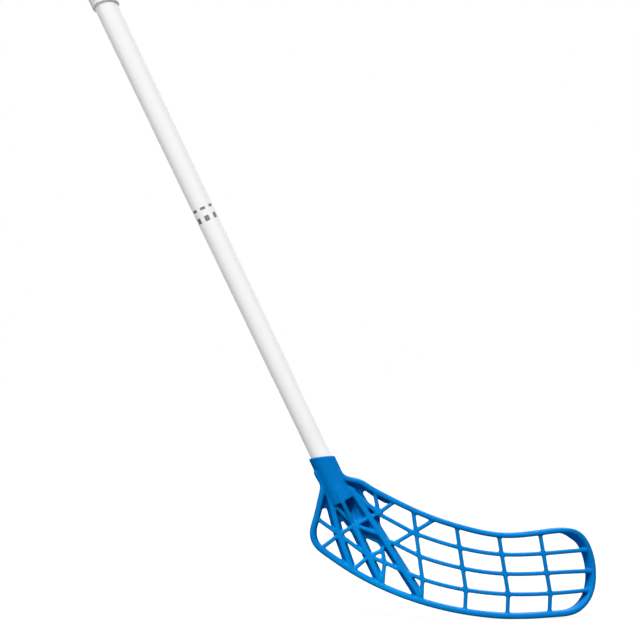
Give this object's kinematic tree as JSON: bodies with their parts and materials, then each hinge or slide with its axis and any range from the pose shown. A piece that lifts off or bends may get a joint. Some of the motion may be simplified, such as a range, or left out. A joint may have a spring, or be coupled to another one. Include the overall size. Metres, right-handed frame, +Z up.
{
  "type": "floorball stick",
  "caption": "Floorball stick: curved lattice blade with a socket, glued and screwed on a tapered hollow composite shaft with a wound grip and an end cap.",
  "frame": {"origin": "lowest point of the blade's sole, where the stick touches the floor in play", "axes": "+X towards the toe, +Y towards the blade's concave back, +Z up; the shaft's axis lies in the XZ plane and leans back over the heel by 25.55 degrees"},
  "size_m": [0.6989, 0.0458, 1.0041],
  "materials": {
    "white_lacquer": "gloss white lacquer over a fibre composite tube",
    "blue_polymer": "satin blue injection moulded polymer",
    "hot_melt": "translucent hot melt glue",
    "zinc_steel": "zinc plated steel",
    "grip_tape": "matte perforated polyurethane tape",
    "cap_polymer": "satin white polymer"
  },
  "bodies": {
    "root": {"shaft": "white_lacquer", "blade": "blue_polymer", "socket_adhesive": "hot_melt", "blade_screws": "zinc_steel", "grip_wrap": "grip_tape", "end_cap": "cap_polymer"}
  },
  "joints": []
}
